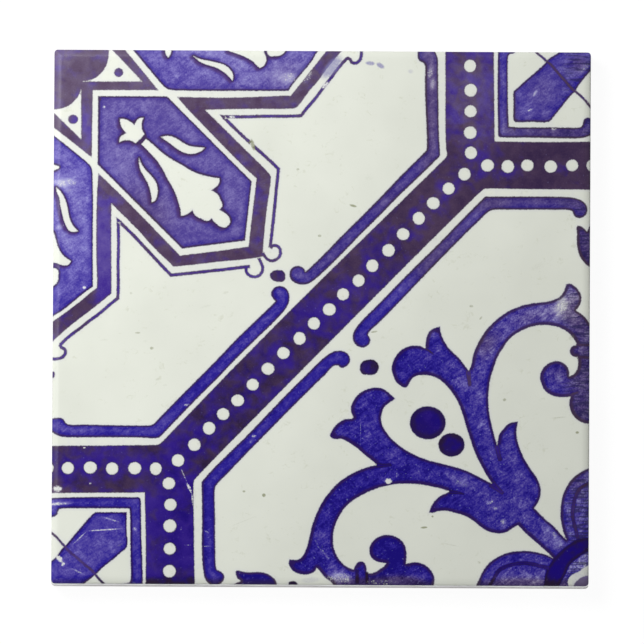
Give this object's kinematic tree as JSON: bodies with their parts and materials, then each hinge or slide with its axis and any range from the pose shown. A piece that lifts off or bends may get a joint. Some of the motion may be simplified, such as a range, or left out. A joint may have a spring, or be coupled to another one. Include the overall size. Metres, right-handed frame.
{
  "type": "azulejo tile",
  "caption": "Square glazed wall tile with a softly rounded face edge, a blue stencilled ornament on white glaze, and a recessed key pattern on its back for mortar.",
  "frame": {"origin": "centre of the tile's back, on the plane of the lands it lies on", "axes": "+Z out of the decorated face, +Y towards the edge that the picture shows at the top, +X towards its right edge"},
  "size_m": [0.14, 0.14, 0.008],
  "materials": {
    "tile": "gloss"
  },
  "bodies": {
    "root": {"azulejo_tile": "tile"}
  },
  "joints": []
}
